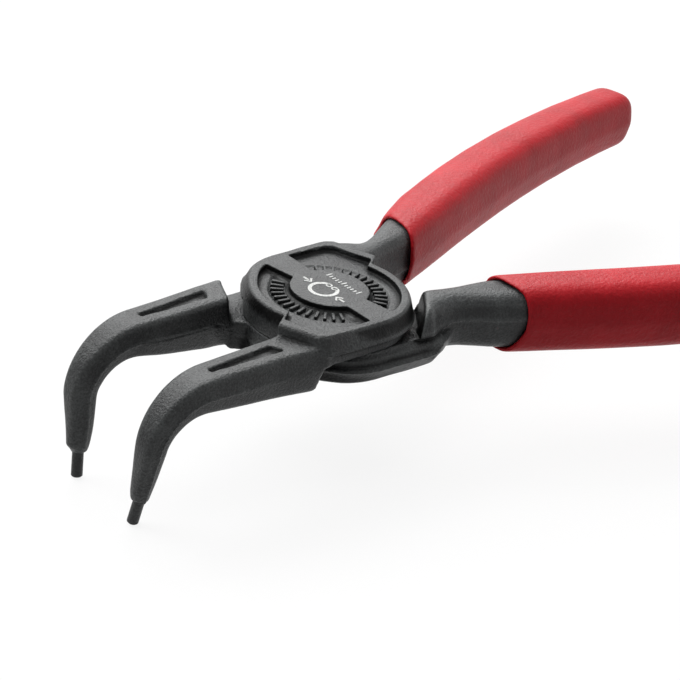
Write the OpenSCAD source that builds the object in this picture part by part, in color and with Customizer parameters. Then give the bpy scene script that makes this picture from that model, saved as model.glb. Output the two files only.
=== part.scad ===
// Circlip pliers for internal rings, with the tips bent down: two forged levers crossed in a lap joint,
// one rivet, two pressed-in tip pins and two dipped grips.
// Frame in mm: the pivot axis is Z, the underside of the joint is Z = 0, the handles run to +X and the
// jaws to -X.
// The levers are drawn half open, with the X axis half way between them.

/* [Lap joint] */
// Radius of the round face of each lap
lap_face_r = 13; // [12:0.25:14]
// Thickness of one lap
lap_t = 4.9; // [4.3:0.1:5.6]
// How much the forged side of a lap grows from its face to its parting line
lap_draft = 1.2; // [0.8:0.1:1.4]
// How much it grows at the ends of the lap, towards the jaws and the handles
lap_end_draft = 0.4; // [0.3:0.1:0.7]
// Height of the drafted part of the side, measured down from the face
lap_draft_h = 2.6; // [1.6:0.1:3.4]
// Radius of the ear where a jaw or a handle leaves the lap
ear_r = 17.5; // [16.8:0.1:18]
// Angle of the ear's outer corner from the X axis
ear_angle = 46.4; // [44:0.2:49]
// Angle of the ear's inner corner from the X axis
ear_inner_angle = 20.2; // [17:0.2:23]
// Free space between the edge of a lap and the top of the handle's shoulder on the other lever
shoulder_gap = 0.9; // [0.8:0.1:1.4]
// Free space between the edge of a lap and the top of the jaw's shoulder on the other lever
jaw_shoulder_gap = 2.3; // [1.9:0.1:2.6]
// How far a shoulder leans in, from the height of the joint to the lap it stands on
shoulder_lean = 0.4; // [0.2:0.1:0.5]
// Turn of the jaw's shoulder from square across the X axis
jaw_shoulder_angle = 25; // [20:1:32]
// Turn of the handle's shoulder from square across the X axis
shank_shoulder_angle = 40; // [34:1:44]

/* [Forged face] */
// Radius of the plain disc in the middle of the face
disc_r = 6.4; // [5.6:0.1:7.2]
// Width of the raised rim round the two fields
rim_w = 1.6; // [1.2:0.1:2]
// Depth of the two fields below the face
field_depth = 1; // [0.5:0.1:1.3]
// Radius out to which the fields lie one step deeper
step_r = 9.8; // [9:0.1:10.4]
// Depth of that step
step_depth = 0.25; // [0.15:0.05:0.4]
// Width of the bar that crosses the face at the disc
bar_w = 4.4; // [3.2:0.2:5.4]
// Width of the bar at the rim
bar_end_w = 5.4; // [4.8:0.2:7]
// Turn of the bar from square across the X axis
bar_turn = 5; // [2:0.5:7]

/* [Rivet] */
// Diameter of the rivet
rivet_d = 8; // [6.6:0.2:9]
// Diameter of the sunk rivet head in the underside
rivet_head_d = 11; // [10:0.2:12]
// Depth of the cone of the rivet head
rivet_head_h = 1.5; // [1:0.1:1.8]
// Steel left over the blind end of the rivet in the upper lever
rivet_cover = 1.7; // [1.4:0.1:2.2]
// Running clearance round the rivet in the lower lever
pivot_clear = 0.05; // [0.03:0.01:0.09]

/* [Jaws] */
// Distance of the jaw's middle from the X axis where it leaves the lap
jaw_root_y = 9; // [8.6:0.1:9.4]
// Distance of the jaw's middle from the X axis at the bend
jaw_bend_y = 8.6; // [8.2:0.1:9]
// Width of the jaw at the lap
jaw_root_w = 7.8; // [7.2:0.1:8.4]
// How far the jaw's arm lies behind the middle of the joint, away from the lever's own face
arm_offset = 0.5; // [0.2:0.1:0.9]
// Height of the jaw at the lap
jaw_root_h = 8; // [7.2:0.1:8.6]
// Extra width of the upper jaw's outer side where it leaves the ear
jaw_flare = 0.6; // [0.3:0.1:0.9]
// Extra depth of the lower jaw's root, down to its lap's face
jaw_root_deep = 1.3; // [0.8:0.1:1.35]
// Distance from the pivot to the start of the bend
jaw_reach = 30.7; // [28:0.1:34]
// Width of the jaw at the start of the bend
jaw_bend_w = 6.7; // [6:0.1:7.2]
// Height of the jaw at the start of the bend
jaw_bend_h = 5.9; // [5.4:0.1:6.4]
// Radius of the bend along the middle of the jaw
bend_r = 9; // [7.5:0.1:11]
// Angle of the bend
bend_angle = 84; // [78:1:90]
// Length of the straight nose below the bend
nose_len = 7.6; // [6.5:0.1:11]
// Thickness of the nose at its end
nose_end_d = 3.2; // [3:0.1:3.8]
// Length of the cone that closes the nose
nose_cone_len = 1.3; // [0.9:0.1:1.8]
// Distance of the nose's end from the X axis
nose_end_y = 7.9; // [7.4:0.1:8.4]
// How much the jaw's sides lean in from the parting line to the top and to the underside
jaw_draft = 0.45; // [0.3:0.05:0.7]
// Rounding of the jaw's edges
jaw_edge_r = 0.9; // [0.6:0.1:1.3]

/* [Jaw flutes] */
// Distance from the pivot to the blunt end of the flute
flute_start = 18.4; // [18.2:0.1:20]
// Distance from the pivot to the pointed end of the flute
flute_end = 30.2; // [27:0.1:32]
// Width of the flute at its blunt end
flute_w = 2.2; // [1.6:0.1:2.6]
// Width of the flute at its pointed end
flute_end_w = 0.9; // [0.6:0.1:1.3]
// How much further the outer corner of the blunt end reaches
flute_slant = 1.4; // [0.8:0.1:1.6]
// Depth of the flute
flute_depth = 0.7; // [0.4:0.1:1]

/* [Tip pins] */
// Diameter of the working end of the tip
tip_d = 1.8; // [1.4:0.1:2]
// Length of the working end of the tip
tip_len = 4.2; // [3.4:0.1:5]
// Diameter of the part pressed into the nose
tip_shank_d = 2.2; // [2.1:0.1:2.4]
// Length of the part pressed into the nose
tip_shank_len = 4.5; // [3.5:0.1:6]
// Lean of the tips towards each other
tip_toe_in = 9; // [5:0.5:11]
// Chamfer of the tip's end
tip_chamfer = 0.2; // [0.1:0.05:0.3]

/* [Handles] */
// Distance along X from the pivot to the end of the steel handle
handle_end_x = 118; // [105:0.5:130]
// Distance of the handle's end from the X axis
handle_end_y = 42; // [38:0.5:46]
// Where the handle's bow pulls, along X
handle_bow_x = 58; // [52:0.5:66]
// Where the handle's bow pulls, away from the X axis
handle_bow_y = 32; // [29:0.5:34]
// Width of the shank beside the lap
shank_w = 6.8; // [6.2:0.1:7.4]
// Height of the shank beside the lap
shank_h = 9.4; // [8.6:0.1:9.6]
// Extra width of the handle's outer side where it leaves the ear
root_flare = 2.6; // [1.8:0.1:3]
// How much the upper handle's neck leans in at the top of its outer side
neck_lean = 1.4; // [0.8:0.1:1.8]
// Width of the tang inside the grip
tang_w = 9.5; // [8.8:0.1:10.2]
// Height of the tang inside the grip
tang_h = 10; // [9.2:0.1:10.6]
// Rounding of the handle's edges
shank_edge_r = 2.4; // [1.8:0.1:2.5]
// How much the handle's sides lean in from the parting line
shank_draft = 0.5; // [0.2:0.05:0.7]

/* [Grips] */
// Wall of the dipped grip
grip_wall = 0.8; // [0.6:0.1:1.2]
// Extra width of the grip's wall half way along the handle
grip_swell = 0.5; // [0:0.1:1]
// Distance along X from the pivot to the lip of the grip
grip_start_x = 26.6; // [25:0.1:29]
// Turn of the upper grip's lip from square across the X axis
lip_tilt = 10; // [0:1:14]
// Gap between the tang and the grip that is drawn over it
grip_fit = 0.05; // [0.03:0.01:0.1]
// Length of the round closed end of the grip
grip_end_len = 4.5; // [3.5:0.1:6]

/* [Hidden] */

steel = [0.13, 0.13, 0.135];
bright = [0.2, 0.2, 0.2];
red = [0.62, 0.05, 0.08];

// The edge of a lap at its widest, the shoulder that clears it, and the corners of an ear
lap_r = lap_face_r + lap_draft;
shoulder_r = lap_r + shoulder_gap;
jaw_shoulder_r = lap_r + jaw_shoulder_gap;
ear = [ear_r * cos(ear_angle), ear_r * sin(ear_angle)];
ear_in_r = shoulder_r + 1.05;
shoulder_lift = 0.3;
face_edge = 0.35;
lap_break = 0.15;
ear_in = [ear_in_r * cos(ear_inner_angle), ear_in_r * sin(ear_inner_angle)];
notch_angle = ear_inner_angle - 4;

// A point on the straight line from a to b, and a value between two others
function mix(a, b, t) = a + (b - a) * t;
function unit(v) = v / norm(v);

// Points on an arc about the pivot
function arc(r, from, to, n) = [for (i = [0 : n]) r * [cos(mix(from, to, i / n)), sin(mix(from, to, i / n))]];

// Half of a lap's outline seen from its own face: ear, straight flank, round side, notch
lap_half = concat(
    [ear_in, mix(ear_in, ear, 0.5), mix(ear_in, ear, 0.9)],
    [mix(ear, [0, lap_face_r], 0.1)],
    [[lap_face_r * 0.4, lap_face_r]],
    [for (a = [90 : 4 : 180 + notch_angle - 3]) lap_face_r * [cos(a), sin(a)]],
    [lap_face_r * [cos(180 + notch_angle), sin(180 + notch_angle)]]);
lap_outline = concat(lap_half, [for (p = lap_half) -p]);

// A closed solid through a list of rings that all have the same number of points
module skin(rings) {
    n = len(rings[0]);
    m = len(rings);
    points = [for (r = rings) each r];
    sides = [for (i = [0 : m - 2]) for (j = [0 : n - 1])
        let (k = (j + 1) % n)
        each [[i * n + j, (i + 1) * n + j, i * n + k], [i * n + k, (i + 1) * n + j, (i + 1) * n + k]]];
    first = [for (j = [0 : n - 1]) j];
    last = [for (j = [n - 1 : -1 : 0]) (m - 1) * n + j];
    polyhedron(points, concat([first], sides, [last]));
}

// Forged section, w wide at the parting line and h high, with sides that lean in by d and edges rounded by r.
// The parting line lies m above the middle.
function forged(w, h, d, r, m = 0, k = 4) =
    let (a = atan2(d, h / 2), cu = w / 2 - d - r, cv = h / 2 - r)
    concat(
        [[w / 2, m]],
        [for (i = [0 : k]) let (t = a + (90 - a) * i / k) [cu + r * cos(t), cv + r * sin(t)]],
        [for (i = [k : -1 : 0]) let (t = a + (90 - a) * i / k) [-cu - r * cos(t), cv + r * sin(t)]],
        [[-w / 2, m]],
        [for (i = [0 : k]) let (t = a + (90 - a) * i / k) [-cu - r * cos(t), -cv - r * sin(t)]],
        [for (i = [k : -1 : 0]) let (t = a + (90 - a) * i / k) [cu + r * cos(t), -cv - r * sin(t)]]);

// Lap with its ears: straight beside the other lap, drafted up to the face, with a small edge round the face
module lap() {
    function ring(g, z) =
        [for (p = lap_outline) [p[0] * (1 + g[0] / lap_face_r), p[1] * (1 + g[1] / lap_face_r), z]];
    grow = [lap_end_draft, lap_draft];
    skin([
        ring(grow - lap_break * [1, 1], 0),
        ring(grow, 2 * lap_break),
        ring(grow, lap_t - lap_draft_h),
        ring([0, 0], lap_t - face_edge),
        ring(-face_edge * [1, 1], lap_t)]);
}

// Room below the lap for the other lever, from the jaw's shoulder to the handle's shoulder
module shoulders() {
    far = 3 * lap_r;
    nj = [cos(jaw_shoulder_angle), sin(jaw_shoulder_angle)];
    ns = [cos(shank_shoulder_angle), sin(shank_shoulder_angle)];
    tj = [-nj[1], nj[0]];
    ts = [-ns[1], ns[0]];
    function room(z) =
        let (in = shoulder_lean * (1 + z / lap_t), j = in - jaw_shoulder_r, s = shoulder_r - in)
        [for (p = [j * nj - far * tj, s * ns - far * ts, s * ns + far * ts, j * nj + far * tj])
            [p[0], p[1], z]];
    skin([room(-far), room(shoulder_lift)]);
}

// One of the two sunk fields of the face: inside the rim, outside the middle disc, beside the bar
field_s = 1 - rim_w / lap_face_r;
field_y = lap_face_r * field_s;
field_from = acos(bar_w / 2 / disc_r);
function beside_bar(p) = p[0] * cos(bar_turn) + p[1] * sin(bar_turn);
function turned(p) =
    [p[0] * cos(bar_turn) - p[1] * sin(bar_turn), p[0] * sin(bar_turn) + p[1] * cos(bar_turn)];
field_near = [for (p = lap_half) if (-beside_bar(p) * field_s > bar_end_w / 2 + 0.3) -p * field_s];
field_far = [for (p = lap_half) if (beside_bar(p) * field_s > bar_end_w / 2 + 0.3) p * field_s];
field = concat(
    [turned([bar_end_w / 2, -sqrt(field_y * field_y - bar_end_w * bar_end_w / 4)])],
    field_near,
    field_far,
    [turned([bar_end_w / 2, field_y])],
    arc(disc_r, bar_turn + field_from, bar_turn - field_from, 18));
step_from = acos(bar_end_w / 2 / step_r) - 1;
step_in_r = disc_r + 0.3;
field_step = concat(
    arc(step_r, bar_turn - step_from, bar_turn + step_from, 20),
    arc(step_in_r, bar_turn + field_from - 6, bar_turn + 6 - field_from, 18));

module fields() {
    for (turn = [0, 180])
        rotate([0, 0, turn])
            translate([0, 0, lap_t - field_depth])
                union() {
                    linear_extrude(height = field_depth + 1)
                        polygon(field);
                    translate([0, 0, -step_depth])
                        linear_extrude(height = field_depth)
                            polygon(field_step);
                }
}

// Path of a handle, from inside the lap to the end of the steel
path_a = [lap_face_r * 0.85, jaw_root_y - 0.6];
path_b = [lap_face_r * 2, jaw_root_y + 0.9];
path_c = [handle_bow_x, handle_bow_y];
path_d = [handle_end_x, handle_end_y];
function on_path(t) =
    pow(1 - t, 3) * path_a + 3 * pow(1 - t, 2) * t * path_b
        + 3 * (1 - t) * t * t * path_c + t * t * t * path_d;
function along_path(t) =
    unit(3 * pow(1 - t, 2) * (path_b - path_a) + 6 * (1 - t) * t * (path_c - path_b)
        + 3 * t * t * (path_d - path_c));

// A flat section set up across the handle at the share t of its path, moved on by s
function across(t, sec, s = 0) =
    let (p = on_path(t), d = along_path(t))
    [for (q = sec) [p[0] + d[0] * s - d[1] * q[0], p[1] + d[1] * s + d[0] * q[0], q[1]]];

// The steel section of the handle at the share t, grown by g on every side: a neck that swells into the tang
swell_from = 0.12;
swell_end = 0.27;
flare_end = 0.15;
parting_lift = -1.1;
function swell(t) = 0.5 - 0.5 * cos(180 * min(1, max(0, (t - swell_from) / (swell_end - swell_from))));
function flare(t) = root_flare * pow(max(0, 1 - t / flare_end), 2);
lean_from = 0.09;
lean_end = 0.37;
function lean_share(t) = max(0, min(1, (t - lean_from) / (lean_end - lean_from)));
function lean(t, side) = side < 0 ? 0 : neck_lean * sin(180 * lean_share(t));
function shaped(sec, t, side) =
    [for (q = sec) [q[0] + (q[0] > 0 ? flare(t) : 0) - (q[0] > 0 && q[1] > 0 ? lean(t, side) : 0), q[1]]];
function handle_section(t, side, g = 0) =
    shaped(forged(mix(shank_w, tang_w, swell(t)) + 2 * g, mix(shank_h, tang_h, swell(t)) + 2 * g,
        shank_draft, shank_edge_r + g, parting_lift), t, side);

// Length of the handle inside the lap, before its path
handle_root = lap_face_r * 0.25;

// Shares of the path at which the handle is set out
tang_end = 0.985;
handle_steps = [0, 0.03, 0.06, 0.09, swell_from, flare_end, 0.19, 0.23, swell_end,
    0.33, 0.4, 0.48, 0.56, 0.64, 0.72, 0.8, 0.88, 0.94, tang_end];
tang_steps = [for (t = handle_steps) if (t > 0.16) t];

module handle(side) {
    skin(concat(
        [across(0, handle_section(0, side), -handle_root)],
        [for (t = handle_steps) across(t, handle_section(t, side))]));
}

// Place and direction of the middle of the jaw: straight arm, bend, then the nose. The side is 1 where the jaw
// bends away from the lever's own face and -1 where it bends towards it, which makes the nose longer.
function jaw_dir(a) = [-cos(a), -sin(a)];
function jaw_up(a) = [-sin(a), cos(a)];
function on_bend(a, side) = [-jaw_reach - bend_r * sin(a), -bend_r + bend_r * cos(a) - side * arm_offset];
function nose_out(side) =
    on_bend(bend_angle, side) + (nose_len - side * arm_offset / sin(bend_angle)) * jaw_dir(bend_angle);
function tip_seat(side) = nose_out(side) + nose_cone_len * jaw_dir(bend_angle);

// Rings of the jaw, each across its path: place, angle, distance from the X axis, section
function jaw_ring(p, a, y, sec) =
    [for (q = sec) [p[0] + q[1] * jaw_up(a)[0], y - q[0], p[1] + q[1] * jaw_up(a)[1]]];
jaw_in = -lap_face_r * 0.7;
function arm_deep(t, side) = side > 0 ? 0 : jaw_root_deep * min(1, (1 - t) / 0.75);
function flare_share(t) = max(0, min(1, (t - 0.1) / 0.4));
function arm_flare(t, side) = side < 0 ? 0 : jaw_flare * (0.5 + 0.5 * cos(180 * flare_share(t)));
function arm_ring(t, side) =
    jaw_ring([mix(jaw_in, -jaw_reach, t), -side * arm_offset], 0, -mix(jaw_root_y, jaw_bend_y, t),
        [for (q = forged(
                mix(jaw_root_w, jaw_bend_w, t), mix(jaw_root_h, jaw_bend_h, t), jaw_draft, jaw_edge_r))
            [q[0] + (q[0] > 0 ? arm_flare(t, side) : 0), q[1] - (q[1] < 0 ? arm_deep(t, side) : 0)]]);
nose_in_d = mix(min(jaw_bend_w, jaw_bend_h), nose_end_d, 0.58);
function bend_ring(t, side) =
    let (a = bend_angle * t, r = mix(jaw_edge_r, nose_end_d * 0.36, t))
    jaw_ring(on_bend(a, side), a, -jaw_bend_y,
        forged(mix(jaw_bend_w, nose_in_d, t), mix(jaw_bend_h, nose_in_d, t), mix(jaw_draft, 0.2, t), r));
function nose_ring(t, side) =
    let (d = mix(nose_in_d, nose_end_d, t), r = mix(nose_end_d * 0.36, nose_end_d * 0.44, t))
    jaw_ring(mix(on_bend(bend_angle, side), nose_out(side), t), bend_angle, -mix(jaw_bend_y, nose_end_y, t),
        forged(d, d, mix(0.2, 0.1, t), r));

module jaw(side) {
    end_d = tip_shank_d + 0.5;
    skin(concat(
        [for (t = [0, 0.1, 0.18, 0.25, 0.32, 0.4, 0.5, 0.75]) arm_ring(t, side)],
        [for (i = [0 : 12]) bend_ring(i / 12, side)],
        [for (t = [0.25, 0.5, 0.75, 1]) nose_ring(t, side)],
        [jaw_ring(tip_seat(side), bend_angle, -nose_end_y, forged(end_d, end_d, 0.05, end_d * 0.46))]));
}

// Flutes in the jaw's arm, level with its sloping faces: two in the upper jaw, one in the top of the lower jaw
module flutes(side) {
    slope = atan2((jaw_root_h - jaw_bend_h) / 2, jaw_reach + jaw_in);
    drift = atan2(jaw_root_y - jaw_bend_y, jaw_reach + jaw_in);
    for (s = side > 0 ? [1, -1] : [-1])
        translate([-jaw_reach, -jaw_bend_y, s * jaw_bend_h / 2 - arm_offset])
            rotate([0, -s * slope, -drift])
                translate([0, 0, -flute_depth])
                    linear_extrude(height = 2 * flute_depth)
                        polygon([
                            [jaw_reach - flute_start + flute_slant, -flute_w / 2],
                            [jaw_reach - flute_start, flute_w / 2],
                            [jaw_reach - flute_end, flute_end_w / 2],
                            [jaw_reach - flute_end, -flute_end_w / 2]]);
}

// The frame along a tip pin, from where it leaves the nose
module at_tip(side) {
    translate([tip_seat(side)[0], -nose_end_y, tip_seat(side)[1]])
        rotate([0, 90 - bend_angle, 0])
            rotate([180 + tip_toe_in, 0, 0])
                children();
}

// Lever with its face up, drawn about the plane between the laps, with its jaw bent to the given side
module forged_lever(side) {
    difference() {
        union() {
            lap();
            difference() {
                union() {
                    handle(side);
                    scale([1, 1, side]) jaw(side);
                }
                shoulders();
            }
        }
        fields();
        flutes(side);
        scale([1, 1, side])
            at_tip(side)
                translate([0, 0, -tip_shank_len])
                    cylinder(d = tip_shank_d, h = tip_shank_len + tip_len, $fn = 32);
    }
}

module upper_lever() {
    color(steel)
        translate([0, 0, lap_t])
            difference() {
                forged_lever(1);
                translate([0, 0, -lap_t]) cylinder(d = rivet_d, h = 2 * lap_t - rivet_cover, $fn = 64);
            }
}

module lower_lever() {
    color(steel)
        translate([0, 0, lap_t])
            difference() {
                rotate([180, 0, 0]) forged_lever(-1);
                translate([0, 0, -1.5 * lap_t])
                    cylinder(d = rivet_d + 2 * pivot_clear, h = 2 * lap_t, $fn = 64);
                translate([0, 0, -lap_t])
                    cylinder(d1 = rivet_head_d + 2 * pivot_clear, d2 = rivet_d + 2 * pivot_clear,
                        h = rivet_head_h, $fn = 64);
            }
}

// Rivet with its head sunk in the underside and its blind end in the upper lever
module pivot_rivet() {
    color(bright)
        union() {
            cylinder(d = rivet_d, h = 2 * lap_t - rivet_cover, $fn = 64);
            cylinder(d1 = rivet_head_d - 0.1, d2 = rivet_d, h = rivet_head_h - 0.05, $fn = 64);
        }
}

// Stepped pin: pressed part, cone and working end
module tip_pin(side) {
    at_tip(side)
        rotate_extrude($fn = 48)
            polygon([
                [0, -tip_shank_len], [tip_shank_d / 2, -tip_shank_len], [tip_shank_d / 2, 0],
                [tip_d / 2, (tip_shank_d - tip_d) / 2], [tip_d / 2, tip_len - tip_chamfer],
                [tip_d / 2 - tip_chamfer, tip_len], [0, tip_len]]);
}

module upper_tip() {
    color(bright) translate([0, 0, lap_t]) tip_pin(1);
}

module lower_tip() {
    color(bright) translate([0, 0, lap_t]) mirror([0, 1, 0]) tip_pin(-1);
}

// Grip drawn over the tang, closed with a round end and cut at its lip, square to the X axis or turned by tilt
module grip(side, tilt) {
    room = 4 * tang_h;
    function wall(t) = grip_wall + grip_swell * max(0, sin(180 * (t - swell_end) / (1 - swell_end)));
    function skin_section(t) =
        shaped(
            forged(tang_w + 2 * wall(t), tang_h + 2 * wall(t), shank_draft, shank_edge_r + wall(t)), t, side);
    difference() {
        skin(concat(
            [for (t = tang_steps) across(t, skin_section(t))],
            [for (a = [15 : 15 : 75])
                across(tang_end, skin_section(tang_end) * cos(a), grip_end_len * sin(a))]));
        skin(concat(
            [across(tang_steps[0], handle_section(tang_steps[0], side, grip_fit), -grip_wall)],
            [for (t = tang_steps) across(t, handle_section(t, side, grip_fit))],
            [across(tang_end, handle_section(tang_end, side, grip_fit), grip_fit)]));
        translate([grip_start_x, on_path(swell_end)[1], 0])
            rotate([0, 0, -tilt])
                translate([-room, -room, -room])
                    cube([room, 2 * room, 2 * room]);
    }
}

module upper_grip() {
    color(red) translate([0, 0, lap_t]) grip(1, lip_tilt);
}

module lower_grip() {
    color(red) translate([0, 0, lap_t]) rotate([180, 0, 0]) grip(-1, 0);
}

upper_lever();
lower_lever();
pivot_rivet();
upper_tip();
lower_tip();
upper_grip();
lower_grip();
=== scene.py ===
# %% [markdown]
# # Circlip pliers with bent tips
# Two black forged levers cross in a lap joint, a rivet holds them, and each handle is dipped in red PVC.
# The CAD solids give every size and place. This lesson dresses them: it rounds the forged edges, raises the
# parting line that the dies leave, rounds the lips of the dipped grips, and gives each finish its material.

# %% Load the frame
import math
import bmesh
import bpy
import numpy as np
from mathutils import Matrix, Vector, kdtree, noise


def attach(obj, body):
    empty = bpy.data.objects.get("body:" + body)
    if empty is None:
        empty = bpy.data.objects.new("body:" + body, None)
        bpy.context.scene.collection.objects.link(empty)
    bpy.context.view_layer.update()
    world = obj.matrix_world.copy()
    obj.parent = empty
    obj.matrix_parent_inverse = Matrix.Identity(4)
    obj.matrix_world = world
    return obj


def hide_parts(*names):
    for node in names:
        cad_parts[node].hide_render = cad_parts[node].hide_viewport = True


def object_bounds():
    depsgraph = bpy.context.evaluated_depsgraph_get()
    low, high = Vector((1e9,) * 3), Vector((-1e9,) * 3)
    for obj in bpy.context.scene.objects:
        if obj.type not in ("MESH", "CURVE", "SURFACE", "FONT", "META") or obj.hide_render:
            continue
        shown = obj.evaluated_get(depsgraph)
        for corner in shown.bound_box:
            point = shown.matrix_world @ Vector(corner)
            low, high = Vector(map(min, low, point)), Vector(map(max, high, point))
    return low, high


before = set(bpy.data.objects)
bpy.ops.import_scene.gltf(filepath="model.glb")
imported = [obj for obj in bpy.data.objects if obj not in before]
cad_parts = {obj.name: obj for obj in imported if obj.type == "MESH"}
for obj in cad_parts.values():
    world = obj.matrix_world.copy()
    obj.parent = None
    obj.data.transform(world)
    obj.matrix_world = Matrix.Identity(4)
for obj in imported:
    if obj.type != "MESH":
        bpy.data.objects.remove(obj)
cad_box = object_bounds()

MM = 0.001
print("nodes:", sorted(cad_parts))
print("CAD box in mm:", [[round(v / MM, 2) for v in corner] for corner in cad_box])

# %% [markdown]
# ## The camera
# The picture was taken from in front of the tips, about 28 degrees above the joint, with a long lens.
# The camera's own axes are written down instead of angles, because the picture is also rolled a little, and
# three vectors are easier to check than three turns that depend on their order.

# %% Camera
CAMERA_AT = Vector((-0.177749, -0.182859, 0.134465))
CAMERA_RIGHT = Vector((0.747699, -0.652853, 0.121372))
CAMERA_UP = Vector((0.226773, 0.422831, 0.877376))
LENS_MM = 95.294

camera = bpy.data.objects.new("camera", bpy.data.cameras.new("camera"))
axes = Matrix((CAMERA_RIGHT, CAMERA_UP, CAMERA_RIGHT.cross(CAMERA_UP))).transposed()
camera.matrix_world = Matrix.Translation(CAMERA_AT) @ axes.to_4x4()
camera.data.sensor_width = 36
camera.data.lens = LENS_MM
camera.data.clip_start = 0.01
bpy.context.scene.collection.objects.link(camera)
bpy.context.scene.camera = camera
bpy.context.scene.view_settings.view_transform = "Standard"
print("camera", round(CAMERA_AT.length / MM), "mm from the joint")

# %% [markdown]
# ## Helpers for node trees
# Colours are picked as sRGB hex values, as in any paint program, but shaders work with linear light, so one
# function converts them. A second one adds a node, sets its properties and fills its sockets, which keeps
# every material below short enough to read like a list.


# %% Colour and node helpers
def linear(hex_colour):
    """Linear RGBA of an sRGB hex colour."""
    parts = [int(hex_colour[i : i + 2], 16) / 255 for i in (1, 3, 5)]
    return [p / 12.92 if p <= 0.04045 else ((p + 0.055) / 1.055) ** 2.4 for p in parts] + [1]


def add(tree, kind, sockets=None, **settings):
    """One new node, with its settings made and its sockets filled or linked."""
    node = tree.nodes.new(kind)
    for name, value in settings.items():
        setattr(node, name, value)
    for name, value in (sockets or {}).items():
        if isinstance(value, bpy.types.NodeSocket):
            tree.links.new(value, node.inputs[name])
        else:
            node.inputs[name].default_value = value
    return node


def per_mm(size):
    """Texture scale at which one feature is so many millimetres wide."""
    return 1 / (size * MM)


def blank_finish(name):
    """A new material with an empty node tree, and that tree."""
    finish = bpy.data.materials.new(name)
    finish.use_nodes = True
    finish.node_tree.nodes.clear()
    return finish, finish.node_tree


print("white is", linear("#ffffff")[:3])

# %% [markdown]
# ## Stage
# The object stands on a white table under soft light. The floor shows white to the camera and in
# reflections, keeps a trace of the shadow, and is a pale grey for bounced light, which lifts the red of the
# grips' sides while the black steel beside them stays dark.

# %% Floor
FLOOR_GAP = 0.02 * MM
FLOOR_Z = cad_box[0][2] - FLOOR_GAP
FLOOR_R = 1.6
FLOOR_SHADE = 0.12

floor_mesh = bpy.data.meshes.new("floor")
shape = bmesh.new()
bmesh.ops.create_circle(shape, cap_ends=True, segments=96, radius=FLOOR_R)
bmesh.ops.translate(shape, verts=shape.verts, vec=(0, 0, FLOOR_Z))
shape.to_mesh(floor_mesh)
shape.free()
floor = bpy.data.objects.new("floor", floor_mesh)
bpy.context.scene.collection.objects.link(floor)

paper, tree = blank_finish("white_table")
rays = add(tree, "ShaderNodeLightPath").outputs
seen = add(tree, "ShaderNodeMath", {0: rays["Is Camera Ray"], 1: rays["Is Glossy Ray"]}, operation="MAXIMUM")
seen = add(tree, "ShaderNodeMath", {0: seen.outputs[0], 1: rays["Is Transmission Ray"]}, operation="MAXIMUM")
dull = add(tree, "ShaderNodeBsdfDiffuse", {"Color": linear("#c0c0c0")})
bright = add(tree, "ShaderNodeBsdfDiffuse", {"Color": linear("#f4f4f4")})
glow = add(tree, "ShaderNodeEmission", {"Color": linear("#ffffff"), "Strength": 1.0})
white = add(tree, "ShaderNodeMixShader", {0: FLOOR_SHADE, 1: glow.outputs[0], 2: bright.outputs[0]})
mix = add(tree, "ShaderNodeMixShader", {0: seen.outputs[0], 1: dull.outputs[0], 2: white.outputs[0]})
add(tree, "ShaderNodeOutputMaterial", {"Surface": mix.outputs[0]})
floor_mesh.materials.append(paper)
print("floor at", round(FLOOR_Z / MM, 2), "mm")

# %% [markdown]
# ## Light
# Four softboxes face the joint. One hangs above it, one stands behind it and one on its left, and these three
# draw the long highlights on the black steel. A weak one on the right opens the shadows. The world fills the
# rest with even, dim light, and shows white where the camera or a reflection looks past the floor.


# %% Lights
def softbox(name, at, size, watts):
    """A square area light at a place, turned to the joint."""
    lamp = bpy.data.lights.new(name, "AREA")
    lamp.size = size
    lamp.energy = watts
    box = bpy.data.objects.new(name, lamp)
    turn = Vector(at).to_track_quat("Z", "Y").to_matrix().to_4x4()
    box.matrix_world = Matrix.Translation(at) @ turn
    bpy.context.scene.collection.objects.link(box)


softbox("softbox_above", (0.0, 0.20, 0.60), 0.6, 2.95)
softbox("softbox_behind", (0.31, 0.50, 0.51), 0.55, 4.5)
softbox("softbox_left", (-0.24, 0.45, 0.48), 0.5, 3.3)
softbox("softbox_right", (0.56, -0.34, 0.22), 0.35, 0.55)

world = bpy.data.worlds.new("studio")
bpy.context.scene.world = world
world.use_nodes = True
tree = world.node_tree
tree.nodes.clear()
rays = add(tree, "ShaderNodeLightPath").outputs
seen = add(tree, "ShaderNodeMath", {0: rays["Is Camera Ray"], 1: rays["Is Glossy Ray"]}, operation="MAXIMUM")
seen = add(tree, "ShaderNodeMath", {0: seen.outputs[0], 1: rays["Is Transmission Ray"]}, operation="MAXIMUM")
dim = add(tree, "ShaderNodeBackground", {"Color": linear("#ffffff"), "Strength": 0.05})
clear = add(tree, "ShaderNodeBackground", {"Color": linear("#ffffff"), "Strength": 1.0})
mix = add(tree, "ShaderNodeMixShader", {0: seen.outputs[0], 1: dim.outputs[0], 2: clear.outputs[0]})
add(tree, "ShaderNodeOutputWorld", {"Surface": mix.outputs[0]})

# %% [markdown]
# ## Black phosphated steel
# Forged carbon steel is shot blasted, which leaves a fine even grain, and then phosphated: a thin layer of
# dark crystals that holds oil. The eye sees a soft charcoal grey, half matt, a little lighter where hands
# have rubbed the edges. Hollow corners, the walls of the recesses and the walls beside the other lap are
# painted near black and less glossy: painted shade where shadow falls. Two attributes of the mesh say where:
# rubbed and painted_shade. A phosphate layer isn't bare metal, so the shader stays a dielectric.

# %% Black phosphate
CLOUD_MM = 5
GRAIN_MM = 0.36
PIT_DEPTH = 0.18 * MM


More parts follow.
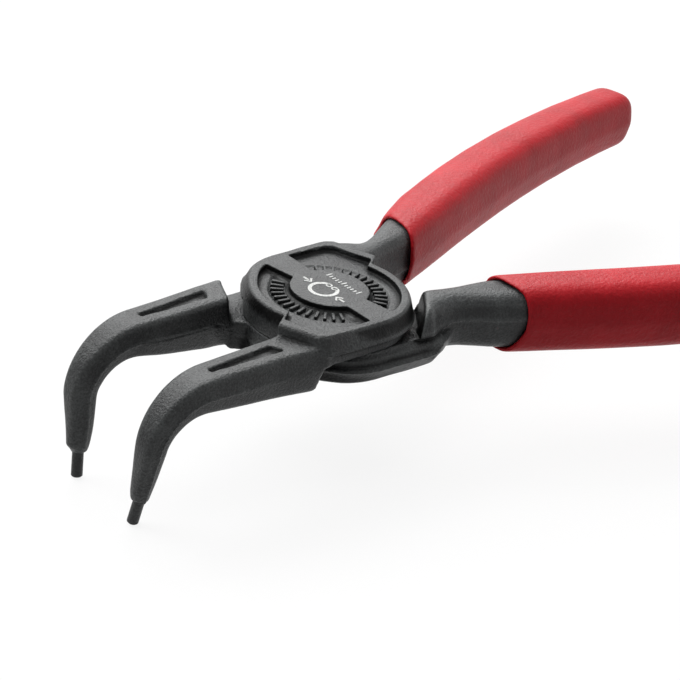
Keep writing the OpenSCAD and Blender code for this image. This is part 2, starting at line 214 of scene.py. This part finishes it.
def black_phosphate(name, dark, light, rubbed):
    """Phosphated steel between two greys, with edges rubbed to a third."""
    finish, tree = blank_finish(name)
    where = add(tree, "ShaderNodeTexCoord").outputs["Object"]
    cloud = add(tree, "ShaderNodeTexNoise", {"Vector": where, "Scale": per_mm(CLOUD_MM), "Detail": 3.0})
    # Shot blasting leaves pits of some tenths of a millimetre, too fine to model and wide enough to show.
    grain = add(tree, "ShaderNodeTexNoise", {
        "Vector": where, "Scale": per_mm(GRAIN_MM), "Detail": 2.0, "Roughness": 0.6})
    blend = add(tree, "ShaderNodeMath", {0: cloud.outputs["Fac"], 1: grain.outputs["Fac"]},
                operation="MULTIPLY")
    ramp = add(tree, "ShaderNodeValToRGB", {"Fac": blend.outputs[0]})
    ramp.color_ramp.elements[0].position = 0.16
    ramp.color_ramp.elements[0].color = linear(dark)
    ramp.color_ramp.elements[1].position = 0.36
    ramp.color_ramp.elements[1].color = linear(light)
    edge = add(tree, "ShaderNodeAttribute", attribute_name="rubbed").outputs["Fac"]
    patchy = add(tree, "ShaderNodeMath", {0: edge, 1: grain.outputs["Fac"]}, operation="MULTIPLY")
    # The sockets of a Mix node are numbered: 0 is the factor, 6 and 7 are the two colours.
    worn = add(tree, "ShaderNodeMix", {0: patchy.outputs[0], 6: ramp.outputs[0], 7: linear(rubbed)},
               data_type="RGBA")
    # Painted shade: where the painted_shade attribute is high, the colour goes near black and the gloss
    # drops, in place of the shadow in hollows and recesses.
    hollow = add(tree, "ShaderNodeAttribute", attribute_name="painted_shade").outputs["Fac"]
    colour = add(tree, "ShaderNodeMix", {0: hollow, 6: worn.outputs[2], 7: linear("#050505")},
                 data_type="RGBA")
    gloss = add(tree, "ShaderNodeMapRange", {"Value": hollow, "To Min": 0.26, "To Max": 0.06})
    rough = add(tree, "ShaderNodeMapRange", {"Value": cloud.outputs["Fac"], "To Min": 0.31, "To Max": 0.45})
    pits = add(tree, "ShaderNodeBump", {
        "Height": grain.outputs["Fac"], "Strength": 0.8, "Distance": PIT_DEPTH})
    shader = add(tree, "ShaderNodeBsdfPrincipled", {
        "Base Color": colour.outputs[2], "Roughness": rough.outputs[0], "Normal": pits.outputs[0],
        "Metallic": 0.0, "Specular IOR Level": gloss.outputs[0]})
    add(tree, "ShaderNodeOutputMaterial", {"Surface": shader.outputs[0]})
    return finish


forged_black = black_phosphate("black_phosphated_forging", "#131415", "#3a3c3c", "#6a6d6d")
pin_black = black_phosphate("black_oxide_pin", "#191a1a", "#2f3131", "#585a5a")
print("steel finishes:", forged_black.name, pin_black.name)

# %% [markdown]
# ## Dipped PVC
# The handles are dipped in liquid PVC and baked. The skin is thick, crimson and half glossy, with a fine
# orange peel where it gelled, so highlights are broad and broken up. A bump of pores under a millimetre wide
# does this. Slow clouds of a darker red, some millimetres long, keep the colour from looking printed.

# %% Red PVC
PEEL_MM = 0.7
WAVE_MM = 7
PEEL_DEPTH = 0.22 * MM

dipped_red, tree = blank_finish("dipped_red_pvc")
where = add(tree, "ShaderNodeTexCoord").outputs["Object"]
peel = add(tree, "ShaderNodeTexNoise", {
    "Vector": where, "Scale": per_mm(PEEL_MM), "Detail": 2.0, "Roughness": 0.6})
waves = add(tree, "ShaderNodeTexNoise", {"Vector": where, "Scale": per_mm(WAVE_MM), "Detail": 2.0})
ramp = add(tree, "ShaderNodeValToRGB", {"Fac": waves.outputs["Fac"]})
ramp.color_ramp.elements[0].position = 0.3
ramp.color_ramp.elements[0].color = linear("#a0141d")
ramp.color_ramp.elements[1].position = 0.7
ramp.color_ramp.elements[1].color = linear("#b21a24")
rough = add(tree, "ShaderNodeMapRange", {"Value": peel.outputs["Fac"], "To Min": 0.34, "To Max": 0.5})
skin = add(tree, "ShaderNodeBump", {
    "Height": peel.outputs["Fac"], "Strength": 0.65, "Distance": PEEL_DEPTH})
shader = add(tree, "ShaderNodeBsdfPrincipled", {
    "Base Color": ramp.outputs[0], "Roughness": rough.outputs[0], "Normal": skin.outputs[0],
    "IOR": 1.53, "Specular IOR Level": 0.14})
add(tree, "ShaderNodeOutputMaterial", {"Surface": shader.outputs[0]})
print("grip finish:", dipped_red.name)

# %% [markdown]
# ## Rounding a CAD solid
# The CAD solids have crisp edges. A forging has none: metal that fills a die stops short of every corner.
# A bevel needs clean edges to follow, and these solids are crossed by many, so another way is used: a copy
# is rebuilt as an even grid of small faces, and each point is then moved step by step towards the middle of
# its neighbours. Where the weight is high an edge turns into a wide round, where it is low it stays crisp.

# %% Even grid
MERGE = 0.0005 * MM


def even_grid(node_name, piece_name, cell_mm):
    """A copy of a CAD node rebuilt from small even faces, as an object of its own."""
    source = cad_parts[node_name]
    mesh = source.data.copy()
    shape = bmesh.new()
    shape.from_mesh(mesh)
    bmesh.ops.remove_doubles(shape, verts=shape.verts, dist=MERGE)
    shape.to_mesh(mesh)
    shape.free()
    rough = bpy.data.objects.new(piece_name + "_rough", mesh)
    bpy.context.scene.collection.objects.link(rough)
    grid = rough.modifiers.new("grid", "REMESH")
    grid.mode = "VOXEL"
    grid.voxel_size = cell_mm * MM
    graph = bpy.context.evaluated_depsgraph_get()
    even = bpy.data.meshes.new_from_object(rough.evaluated_get(graph))
    bpy.data.objects.remove(rough)
    even.name = piece_name
    even.materials.clear()
    for attribute in [a.name for a in even.color_attributes]:
        even.color_attributes.remove(even.color_attributes[attribute])
    piece = bpy.data.objects.new(piece_name, even)
    bpy.context.scene.collection.objects.link(piece)
    return piece


print("grid maker ready")


# %% Points of a mesh as arrays
def points_of(mesh):
    """The points of a mesh as an array of rows, in metres."""
    flat = np.empty(len(mesh.vertices) * 3)
    mesh.vertices.foreach_get("co", flat)
    return flat.reshape(-1, 3)


def normals_of(mesh):
    """The point normals of a mesh as an array of rows."""
    flat = np.empty(len(mesh.vertices) * 3)
    mesh.vertex_normals.foreach_get("vector", flat)
    return flat.reshape(-1, 3)


def put_points(mesh, points):
    """Give a mesh its points from an array of rows."""
    mesh.vertices.foreach_set("co", points.ravel())
    mesh.update()


def neighbours_of(mesh):
    """The two ends of every edge, as two arrays of point numbers."""
    pairs = np.empty(len(mesh.edges) * 2, dtype=np.int64)
    mesh.edges.foreach_get("vertices", pairs)
    return pairs.reshape(-1, 2).T


def smoothstep(low, high, value):
    """0 below the first value, 1 above the second, with an S between them."""
    t = np.clip((value - low) / (high - low), 0, 1)
    return t * t * (3 - 2 * t)


print("half way up the S:", smoothstep(0, 1, 0.5))


# %% Weighted smoothing
def links_of(a, b, count):
    """How many neighbours each point has."""
    return np.bincount(a, minlength=count) + np.bincount(b, minlength=count)


def sum_of_neighbours(points, a, b):
    """The places of each point's neighbours, added up."""
    total = np.empty_like(points)
    for k in range(3):
        ahead = np.bincount(a, points[b, k], len(points))
        total[:, k] = ahead + np.bincount(b, points[a, k], len(points))
    return total


def relax(mesh, weight, passes):
    """Move each point towards the middle of its neighbours, by its own weight in every pass."""
    a, b = neighbours_of(mesh)
    points = points_of(mesh)
    links = links_of(a, b, len(points))[:, None]
    for _ in range(passes):
        points += weight[:, None] * (sum_of_neighbours(points, a, b) / links - points)
    put_points(mesh, points)


print("smoothing ready")

# %% [markdown]
# ## The forged levers
# Each lever is one forging. Its face keeps fairly crisp edges, because the pad is coined after forging, and
# so do the flutes, while the jaws and above all the shank have wide soft rounds. Hollow corners fill up in
# the die, so a second pass lets the roots of jaw and shank grow outwards only, until they are smooth fillets.


# %% Hollow corners fill up
def fill_creases(mesh, room, passes):
    """Move points in hollow corners outwards, by their share of room in every pass, and no others."""
    a, b = neighbours_of(mesh)
    inside = (room[a] > 0) | (room[b] > 0)
    a, b = a[inside], b[inside]
    points = points_of(mesh)
    links = np.maximum(links_of(a, b, len(points)), 1)[:, None]
    for turn in range(passes):
        # Normals change slowly, so they are taken anew in every tenth pass only.
        if turn % 10 == 0:
            put_points(mesh, points)
            outward = normals_of(mesh)
        step = ((sum_of_neighbours(points, a, b) / links - points) * outward).sum(1)
        points += outward * (room * np.clip(step, 0, None))[:, None]
    put_points(mesh, points)


print("crease filler ready")

# %% [markdown]
# ## The parting line
# Two dies meet half way up the forging and leave a thin raised line all round. It runs level along the shank,
# climbs or dips to the middle of the lap, and follows the bend of the nose. Seen from the side it is one
# curve, so it is set out in X and Z, and every point of the side that lies close to it is lifted a little.


# %% Parting line seen from the side
CONTACT_Z = 4.9 * MM
LAP_MIDDLE = 2.3 * MM
SHANK_MIDDLE = -1.1 * MM
ARM_DROP = 0.5 * MM
JAW_REACH = 30.7 * MM
BEND_R = 9 * MM
BEND_ANGLE = 84
NOSE_RUN = 8.2 * MM
PARTING_LIFT = 0.2 * MM
PARTING_HALF = 0.17 * MM


def parting_line(face):
    """Points of the parting line in X and Z. The face is 1 for the upper lever and -1 for the lower one."""
    xs = np.linspace(125 * MM, -JAW_REACH, 700)
    shank = smoothstep(9.5 * MM, 15.5 * MM, xs)
    arm = smoothstep(13.5 * MM, 19 * MM, -xs)
    lap = CONTACT_Z + face * LAP_MIDDLE
    to_shank = face * SHANK_MIDDLE - face * LAP_MIDDLE
    to_arm = -face * ARM_DROP - face * LAP_MIDDLE
    zs = lap + shank * to_shank + arm * to_arm
    bend = np.radians(np.linspace(0, BEND_ANGLE, 60))
    bx = -JAW_REACH - BEND_R * np.sin(bend)
    bz = zs[-1] - BEND_R + BEND_R * np.cos(bend)
    run = np.linspace(0, NOSE_RUN, 40)
    nx = bx[-1] - run * math.cos(bend[-1])
    nz = bz[-1] - run * math.sin(bend[-1])
    return np.column_stack([np.concatenate([xs, bx, nx]), np.concatenate([zs, bz, nz])])


def lift_parting_line(mesh, face):
    """Raise the points of the sides that lie on the parting line."""
    line = parting_line(face)
    tree = kdtree.KDTree(len(line))
    for i, (x, z) in enumerate(line):
        tree.insert((x, 0, z), i)
    tree.balance()
    points = points_of(mesh)
    normals = normals_of(mesh)
    side = (np.abs(normals[:, 1]) > 0.5) & (np.hypot(points[:, 0], points[:, 1]) > 10 * MM)
    # The jaw roots are ground after forging, which takes most of the line off.
    ahead = -points[:, 0]
    ground = smoothstep(10 * MM, 13 * MM, ahead) * (1 - smoothstep(24 * MM, 30 * MM, ahead))
    shown = 1 - 0.85 * ground
    for i in np.flatnonzero(side):
        away = tree.find((points[i, 0], 0, points[i, 2]))[2]
        if away < 3 * PARTING_HALF:
            points[i] += normals[i] * PARTING_LIFT * shown[i] * math.exp(-((away / PARTING_HALF) ** 2))
    put_points(mesh, points)


print("parting line drops to", round(parting_line(1)[:, 1].min() / MM, 2), "mm")

# %% [markdown]
# ## Flank, relief, die shift and knees
# The side of a lap that runs on into its own handle is forged a little fuller than the other side. Next to
# the contact face each lap is relieved by a groove, which shows as a black gap under the forged band. The two
# dies never meet exactly: on the lower lever the lower half of the jaw stands a little to one side, so the
# parting line is a ledge there. The knee of each nose is bent hot, which leaves its inside tight and, on the
# lower lever, its outside full. All are small moves of points, with smooth weights so that nothing creases.

# %% Small forms of the forging
FLANK_OUT = 0.8 * MM
FLANK_ROOT = 0.6 * MM
RELIEF = 0.9 * MM
RELIEF_H = 1.9 * MM
DIE_SHIFT = 0.4 * MM
KNEE_OUT = 0.45 * MM
KNEE_TIGHT = 0.6 * MM
KNEE_WAY = np.array([-0.9, 0, 0.44])
NOSE_FULL = 0.6 * MM


def widen_flank(mesh, face):
    """Swell the side of the lap that runs on into the handle."""
    points = points_of(mesh)
    x = points[:, 0]
    aside = face * points[:, 1]
    height = face * (points[:, 2] - CONTACT_Z)
    own = smoothstep(0.2 * MM, 1.0 * MM, height)
    along = smoothstep(-13 * MM, -6 * MM, x) * (1 - smoothstep(13 * MM, 16.5 * MM, x))
    swell = FLANK_OUT + FLANK_ROOT * smoothstep(0, 12 * MM, x)
    points[:, 1] += face * swell * own * along * smoothstep(7 * MM, 12.5 * MM, aside)
    put_points(mesh, points)


def relieve_lap(mesh, face):
    """Sink a groove round the lap's side, from the contact face up to the forged band."""
    points = points_of(mesh)
    x, y = points[:, 0], points[:, 1]
    radius = np.maximum(np.hypot(x, y), 1 * MM)
    height = face * (points[:, 2] - CONTACT_Z)
    band = smoothstep(-0.3 * MM, 0, height) * (1 - smoothstep(RELIEF_H, RELIEF_H + 0.25 * MM, height))
    along = smoothstep(-12 * MM, -10 * MM, x) * (1 - smoothstep(9 * MM, 12 * MM, x))
    sunk = RELIEF * band * along * smoothstep(11.5 * MM, 13 * MM, radius)
    points[:, :2] *= (1 - sunk / radius)[:, None]
    put_points(mesh, points)


def shift_dies(mesh, face):
    """Move the lower half of the lower lever's jaw sideways, below its parting line."""
    if face > 0:
        return
    points = points_of(mesh)
    line = parting_line(face)
    arm = line[line[:, 0] > -JAW_REACH][::-1]
    below = np.interp(points[:, 0], arm[:, 0], arm[:, 1]) - points[:, 2]
    ahead = -points[:, 0]
    where = smoothstep(16 * MM, 20 * MM, ahead) * (1 - smoothstep(28 * MM, 34 * MM, ahead))
    points[:, 1] -= DIE_SHIFT * where * smoothstep(0, 0.25 * MM, below)
    put_points(mesh, points)


def square_knee(mesh, face):
    """Tighten the inside of the bend, and on the lower lever bring the whole knee out."""
    points = points_of(mesh)
    normals = normals_of(mesh)
    x, z = points[:, 0], points[:, 2]
    knee = smoothstep(25 * MM, 34 * MM, -x) * smoothstep(-9 * MM, -1 * MM, z)
    inside = np.clip((normals[:, 0] - normals[:, 2]) / math.sqrt(2), 0, 1)
    step = KNEE_TIGHT * knee * inside + (KNEE_OUT * knee if face < 0 else 0)
    points += step[:, None] * KNEE_WAY
    if face < 0:
        nose = smoothstep(30 * MM, 35 * MM, -x)
        front = np.clip(-normals[:, 0], 0, 1) * nose * smoothstep(-11.6 * MM, -10.4 * MM, z)
        points[:, 0] -= NOSE_FULL * front
    put_points(mesh, points)


print("die shift", DIE_SHIFT / MM, "mm")

# %% [markdown]
# ## Painted shade in corners
# Shade falls in hollow corners, on the walls of the recesses in the face, and on the walls beside the other
# lap, so these points get painted shade. A point lies in a hollow when smoothing moves it outwards, so a
# smoothed copy of the points is compared with the form itself. The black finish reads the result as an
# attribute and paints these places near black.


# %% Points of painted shade
def painted_shade_of(mesh, face):
    """How much painted shade each point gets, from 0 to 1."""
    formed = points_of(mesh)
    outward = normals_of(mesh)
    relax(mesh, np.full(len(formed), 0.5), 60)
    hollow = ((points_of(mesh) - formed) * outward).sum(1)
    put_points(mesh, formed)
    radius = np.hypot(formed[:, 0], formed[:, 1])
    height = face * (formed[:, 2] - CONTACT_Z)
    on_face = (1 - smoothstep(14 * MM, 14.6 * MM, radius)) * smoothstep(2.5 * MM, 3 * MM, height)
    wall = on_face * (1 - smoothstep(0.4, 0.8, np.abs(outward[:, 2])))
    inward = -(formed[:, :2] * outward[:, :2]).sum(1) / np.maximum(radius, 1 * MM)
    beside = (1 - smoothstep(17 * MM, 19.5 * MM, radius)) * smoothstep(0.1 * MM, 0.6 * MM, -height)
    corner = beside * smoothstep(0.2, 0.6, inward)
    return np.maximum(smoothstep(0.04 * MM, 0.2 * MM, hollow), np.maximum(wall, corner))


print("shelter ready")

# %% [markdown]
# ## Zones of a lever
# One rule for the whole forging would round the pad away or leave the shank sharp. So zones are set out from
# the pivot, with X along the tool, Y to the jaw's side and the height over the contact face: the pad with its
# ear, the flute in the jaw, the knuckle where the handle passes the other lap, and the two roots. Each zone
# fades out over a millimetre or two.


# %% Zones
def lever_zones(points, face):
    """How far each point is rounded, filled up and softened, as three arrays of weights."""
    x = points[:, 0]
    y = -face * points[:, 1]
    radius = np.hypot(x, y)
    height = face * (points[:, 2] - CONTACT_Z)
    shank = smoothstep(14 * MM, 17 * MM, x)
    jaw = smoothstep(15 * MM, 18 * MM, -x)
    past_ear = -0.930 * x + 0.367 * y - 15.88 * MM
    ear = (x < -8 * MM) * (1 - smoothstep(1.0 * MM, 2.0 * MM, past_ear))
    ear = ear * (1 - smoothstep(18 * MM, 19 * MM, radius))
    pad = np.maximum(1 - smoothstep(15.5 * MM, 17.5 * MM, radius), ear)
    pad = pad * smoothstep(0.5 * MM, 1.5 * MM, height)
    flute = jaw * (1 - smoothstep(31 * MM, 32 * MM, -x))
    flute = flute * (1 - smoothstep(1.7 * MM, 2.2 * MM, np.abs(y - 8.8 * MM)))
    knuckle = smoothstep(0.5 * MM, 1.5 * MM, -height) * (1 - smoothstep(15 * MM, 18 * MM, -x))
    weight = 0.06 + 0.34 * np.maximum(shank, knuckle) + 0.08 * jaw * (1 - knuckle)
    weight = weight * (1 - pad) * (1 - flute) + 0.03 * pad + 0.03 * flute
    # The other lap sweeps over a disc, where nothing may grow, apart from the outer flanks.
    swept = 1 - smoothstep(14.2 * MM, 14.6 * MM, radius)
    outer = smoothstep(10.5 * MM, 12 * MM, np.abs(y))
    handle_root = np.maximum(smoothstep(13 * MM, 15 * MM, x), outer * smoothstep(8 * MM, 10 * MM, x))
    handle_root = handle_root * (1 - smoothstep(22 * MM, 26 * MM, x))
    jaw_root = smoothstep(10.5 * MM, 12.5 * MM, -x) * (1 - smoothstep(20 * MM, 24 * MM, -x)) * (1 - flute)
    # The wall of the coined pad stays crisp where it meets the jaw's own face.
    jaw_root = jaw_root * (1 - smoothstep(0.6 * MM, 1.4 * MM, height) * (1 - outer))
    root = np.maximum(handle_root, jaw_root) * (1 - pad) * (1 - swept * (1 - outer))
    soft = smoothstep(0.2 * MM, 1 * MM, -height) * smoothstep(7 * MM, 9 * MM, x)
    soft = soft * (1 - smoothstep(19 * MM, 23 * MM, x))
    return weight, root, soft


print("zones ready")


# %% Thinning
def thin_out(piece, most_faces):
    """Swap a piece's mesh for one with at most so many faces, with its attributes kept."""
    mesh = piece.data
    thin = piece.modifiers.new("thin", "DECIMATE")
    thin.ratio = most_faces / (2 * len(mesh.polygons))
    graph = bpy.context.evaluated_depsgraph_get()
    final = bpy.data.meshes.new_from_object(piece.evaluated_get(graph))
    piece.modifiers.remove(thin)
    piece.data = final
    bpy.data.meshes.remove(mesh)
    final.name = piece.name
    return final


print("thinning ready")

# %% Lever pieces
CELL_MM = 0.2
MOST_FACES = 190000
ROUND_PASSES = 40
FILL_PASSES = 240
RUB_DEPTH = 0.12 * MM
DENT_MM = 2.6
DENT_DEPTH = 0.02 * MM

levers = {}
for side, face in (("upper", 1), ("lower", -1)):
    piece = even_grid(side + "_lever", side + "_forging", CELL_MM)
    mesh = piece.data
    before = points_of(mesh)
    weight, root, soft = lever_zones(before, face)
    relax(mesh, weight, ROUND_PASSES)
    rubbed = np.clip(-((points_of(mesh) - before) * normals_of(mesh)).sum(1) / RUB_DEPTH, 0, 1)
    fill_creases(mesh, 0.5 * root, FILL_PASSES)
    relax(mesh, 0.3 * root, 6)
    widen_flank(mesh, face)
    relax(mesh, 0.4 * soft, 14)
    lift_parting_line(mesh, face)
    relieve_lap(mesh, face)
    shift_dies(mesh, face)
    square_knee(mesh, face)
    # Painted shade: how dark each point is painted, where shadow falls in hollows, recesses and beside the
    # other lap.
    painted_shade = 0.9 * painted_shade_of(mesh, face)
    points = points_of(mesh)
    dents = np.array([noise.noise(Vector(p) * per_mm(DENT_MM)) for p in points])
    put_points(mesh, points + normals_of(mesh) * (dents * DENT_DEPTH)[:, None])
    for attribute, value in (("rubbed", rubbed), ("painted_shade", painted_shade)):
        layer = mesh.attributes.new(attribute, "FLOAT", "POINT")
        layer.data.foreach_set("value", value.astype(np.float32))
    final = thin_out(piece, MOST_FACES)
    final.materials.append(forged_black)
    final.polygons.foreach_set("use_smooth", [True] * len(final.polygons))
    levers[side] = piece
    print(piece.name, len(final.polygons), "faces, attributes", [t.name for t in final.attributes][:6])

# %% [markdown]
# ## Ride and replace
# A lever's grid stands for its CAD node in every picture, while the CAD solid goes on carrying the motion.

# %% Levers take the place of their solids
for side, piece in levers.items():
    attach(piece, side)
    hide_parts(side + "_lever")

# %% [markdown]
# ## Ribs in the fields
# The two sunk fields of each face hold a ring of short raised ribs. One rib is drawn as a small bar with
# bevelled edges, and Geometry Nodes sets copies of it round the pivot: a circle gives the places, the
# direction from the pivot gives each rib its turn, and a distance from the bar, which is turned a little on
# the face, leaves the bar bare.


# %% A ring of ribs as Geometry Nodes
def ring_tree(name, material):
    """Copies of a mesh set round the Z axis, apart from those close to the bar."""
    tree = bpy.data.node_groups.new(name, "GeometryNodeTree")
    for socket, kind in (("Geometry", "NodeSocketGeometry"), ("Count", "NodeSocketInt"),
                         ("Radius", "NodeSocketFloat"), ("Clear", "NodeSocketFloat"),
                         ("Across", "NodeSocketVector")):
        tree.interface.new_socket(socket, in_out="INPUT", socket_type=kind)
    tree.interface.new_socket("Geometry", in_out="OUTPUT", socket_type="NodeSocketGeometry")
    given = add(tree, "NodeGroupInput").outputs
    ring = add(tree, "GeometryNodeMeshCircle", {"Vertices": given["Count"], "Radius": given["Radius"]})
    place = add(tree, "GeometryNodeInputPosition").outputs[0]
    across = add(tree, "ShaderNodeVectorMath", {0: place, 1: given["Across"]}, operation="DOT_PRODUCT")
    away = add(tree, "ShaderNodeMath", {0: across.outputs["Value"]}, operation="ABSOLUTE").outputs[0]
    keep = add(tree, "FunctionNodeCompare", {0: away, 1: given["Clear"]}, operation="GREATER_THAN")
    turn = add(tree, "FunctionNodeAlignRotationToVector", {"Vector": place}, axis="X").outputs[0]
    copies = add(tree, "GeometryNodeInstanceOnPoints", {
        "Points": ring.outputs["Mesh"], "Selection": keep.outputs[0],
        "Instance": given["Geometry"], "Rotation": turn})
    real = add(tree, "GeometryNodeRealizeInstances", {0: copies.outputs[0]})
    dressed = add(tree, "GeometryNodeSetMaterial", {"Geometry": real.outputs[0], "Material": material})
    add(tree, "NodeGroupOutput", {0: dressed.outputs[0]})
    return tree


def baked(piece, tree, values):
    """The plain mesh that a node tree makes from a piece, with the tree's inputs set by name."""
    nodes = piece.modifiers.new("nodes", "NODES")
    nodes.node_group = tree
    for item in tree.interface.items_tree:
        if item.in_out == "INPUT" and item.name in values:
            nodes[item.identifier] = values[item.name]
    graph = bpy.context.evaluated_depsgraph_get()
    mesh = bpy.data.meshes.new_from_object(piece.evaluated_get(graph))
    piece.modifiers.remove(nodes)
    mesh.name = piece.name
    piece.data = mesh
    return piece


print("rib tree ready")

# %% Face ribs
RIB = (2.2 * MM, 0.52 * MM, 0.6 * MM)
RIB_EDGE = 0.13 * MM
RIB_FLOOR = 8.5 * MM
RIB_COUNT = 40
RIB_RADIUS = 8.3 * MM
RIB_CLEAR = 3.7 * MM
BAR_TURN = math.radians(5)

rib_ring = ring_tree("rib_ring", forged_black)
for side, face in (("upper", 1), ("lower", -1)):
    shape = bmesh.new()
    bmesh.ops.create_cube(shape, size=1)
    bmesh.ops.scale(shape, verts=shape.verts, vec=RIB)
    bmesh.ops.bevel(shape, geom=shape.edges, offset=RIB_EDGE, segments=3, affect="EDGES", profile=0.5)
    level = RIB_FLOOR + RIB[2] / 2
    bmesh.ops.translate(shape, verts=shape.verts, vec=(0, 0, CONTACT_Z + face * (level - CONTACT_Z)))
    rib = bpy.data.meshes.new(side + "_face_ribs")
    shape.to_mesh(rib)
    shape.free()
    ribs = bpy.data.objects.new(side + "_face_ribs", rib)
    bpy.context.scene.collection.objects.link(ribs)
    across = (math.cos(BAR_TURN), face * math.sin(BAR_TURN), 0)
    baked(ribs, rib_ring, {
        "Count": RIB_COUNT, "Radius": RIB_RADIUS, "Clear": RIB_CLEAR, "Across": across})
    ribs.data.polygons.foreach_set("use_smooth", [True] * len(ribs.data.polygons))
    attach(ribs, side)
    print(ribs.name, len(ribs.data.polygons), "faces")

# %% [markdown]
# ## The laser mark
# A laser bleaches the black layer on the middle disc. The mark is a plain sign that any maker could use: an
# open spring ring with its two eyes, two arrows that squeeze it, and a short scale. It is drawn flat from
# strips and rings, in millimetres, and given a skin of a few hundredths.


# %% Flat strokes
def stroke(shape, points, width):
    """A flat strip of a given width along a line of points."""
    line = [Vector((x, y, 0)) for x, y in points]
    left, right = [], []
    for i, p in enumerate(line):
        along = (line[min(i + 1, len(line) - 1)] - line[max(i - 1, 0)]).normalized()
        out = Vector((-along.y, along.x, 0)) * width / 2
        left.append(shape.verts.new(p + out))
        right.append(shape.verts.new(p - out))
    for i in range(len(line) - 1):
        shape.faces.new((right[i], right[i + 1], left[i + 1], left[i]))


def turn_points(middle, radius, start, end, steps):
    """Points on an arc, with its angles in degrees."""
    angles = np.radians(np.linspace(start, end, steps))
    return [(middle[0] + radius * math.cos(a), middle[1] + radius * math.sin(a)) for a in angles]


print("strokes ready")

# %% Laser mark
MARK_Z = 9.79 * MM
MARK_SKIN = 0.05 * MM
SIGN_AT = (-1.3, 0.0)
SIGN_R = 2.2
LINE_W = 0.62
ARROW_W = 0.36
FINE_W = 0.26
GAP_HALF = 24
EYE_TURN = 20
EYE_R = 0.42
SCALE_X = 2.4
SCALE_STEP = 0.72

shape = bmesh.new()
stroke(shape, turn_points(SIGN_AT, SIGN_R, GAP_HALF, 360 - GAP_HALF, 64), LINE_W)
for turn in (EYE_TURN, -EYE_TURN):
    eye = turn_points(SIGN_AT, SIGN_R - 0.35, turn, turn, 1)[0]
    stroke(shape, turn_points(eye, EYE_R, 0, 360, 28), FINE_W)
sign_x = SIGN_AT[0]
for way in (1, -1):
    stroke(shape, [(sign_x, way * 4.9), (sign_x, way * 3.7)], ARROW_W)
    stroke(shape, [(sign_x + 0.75, way * 3.9), (sign_x, way * 3.05), (sign_x - 0.75, way * 3.9)], ARROW_W)
for i in range(11):
    tick_y = (i - 5) * SCALE_STEP
    tick = 1.2 if i % 5 == 0 else 0.75
    stroke(shape, [(SCALE_X, tick_y), (SCALE_X + tick, tick_y)], FINE_W)
bmesh.ops.recalc_face_normals(shape, faces=shape.faces)
raised = bmesh.ops.extrude_face_region(shape, geom=shape.faces[:])
top = [v for v in raised["geom"] if isinstance(v, bmesh.types.BMVert)]
bmesh.ops.translate(shape, verts=top, vec=(0, 0, MARK_SKIN / MM))
bmesh.ops.scale(shape, verts=shape.verts, vec=(MM, MM, MM))
bmesh.ops.translate(shape, verts=shape.verts, vec=(0, 0, MARK_Z))
bmesh.ops.recalc_face_normals(shape, faces=shape.faces)
mark_mesh = bpy.data.meshes.new("laser_mark")
shape.to_mesh(mark_mesh)
shape.free()
print("mark of", len(mark_mesh.polygons), "faces")

# %% [markdown]
# ## Bleached black
# The laser burns off the oil and part of the crystals, which leaves a pale, quite matt grey with fine specks.

# %% Finish of the mark
SPECK_MM = 0.3

bleached, tree = blank_finish("laser_bleached")
where = add(tree, "ShaderNodeTexCoord").outputs["Object"]
speck = add(tree, "ShaderNodeTexNoise", {"Vector": where, "Scale": per_mm(SPECK_MM), "Detail": 2.0})
ramp = add(tree, "ShaderNodeValToRGB", {"Fac": speck.outputs["Fac"]})
ramp.color_ramp.elements[0].position = 0.3
ramp.color_ramp.elements[0].color = linear("#a9aaa8")
ramp.color_ramp.elements[1].position = 0.6
ramp.color_ramp.elements[1].color = linear("#d6d7d5")
shader = add(tree, "ShaderNodeBsdfPrincipled", {"Base Color": ramp.outputs[0], "Roughness": 0.8})
add(tree, "ShaderNodeOutputMaterial", {"Surface": shader.outputs[0]})
mark_mesh.materials.append(bleached)

mark = bpy.data.objects.new("laser_mark", mark_mesh)
bpy.context.scene.collection.objects.link(mark)
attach(mark, "upper")
print(mark.name, "dressed in", bleached.name)

# %% [markdown]
# ## The dipped grips
# The same rebuilding rounds the lip of each grip. PVC that drips off while it gels leaves slow waves along
# the grip, so the points are also moved by a little noise of a few millimetres. The skin of the lower grip
# ran further up the handle on its underside, so its lip is drawn forward there, along the handle.

# %% Grips
GRIP_CELL_MM = 0.32
LIP_RUN = 2.0 * MM
UP_THE_HANDLE = np.array([-0.923, 0.386, 0])
DRIP_MM = 9
DRIP_DEPTH = 0.05 * MM

grips = {"upper": even_grid("upper_grip", "upper_dipped_grip", GRIP_CELL_MM),
         "lower": even_grid("lower_grip", "lower_dipped_grip", GRIP_CELL_MM)}
for side, piece in grips.items():
    mesh = piece.data
    relax(mesh, np.full(len(mesh.vertices), 0.4), 22)
    points = points_of(mesh)
    if side == "lower":
        lip = 1 - smoothstep(28 * MM, 38 * MM, points[:, 0])
        underside = 1 - smoothstep(-1 * MM, 4.5 * MM, points[:, 2])
        points += (LIP_RUN * lip * underside)[:, None] * UP_THE_HANDLE
    wave = np.array([noise.noise(Vector(p) * per_mm(DRIP_MM)) for p in points])
    put_points(mesh, points + normals_of(mesh) * (wave * DRIP_DEPTH)[:, None])
    mesh.materials.append(dipped_red)
    mesh.polygons.foreach_set("use_smooth", [True] * len(mesh.polygons))
    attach(piece, side)
    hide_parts(side + "_grip")
    print(piece.name, len(mesh.polygons), "faces")

# %% [markdown]
# ## Pins and rivet
# The pressed-in pins and the rivet are turned parts whose CAD shape is already right, so they stay and
# only get their finish.

# %% Turned parts
for name in ("upper_tip", "lower_tip", "pivot_rivet"):
    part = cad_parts[name]
    part.data.materials.clear()
    part.data.materials.append(pin_black)
print("turned parts finished")
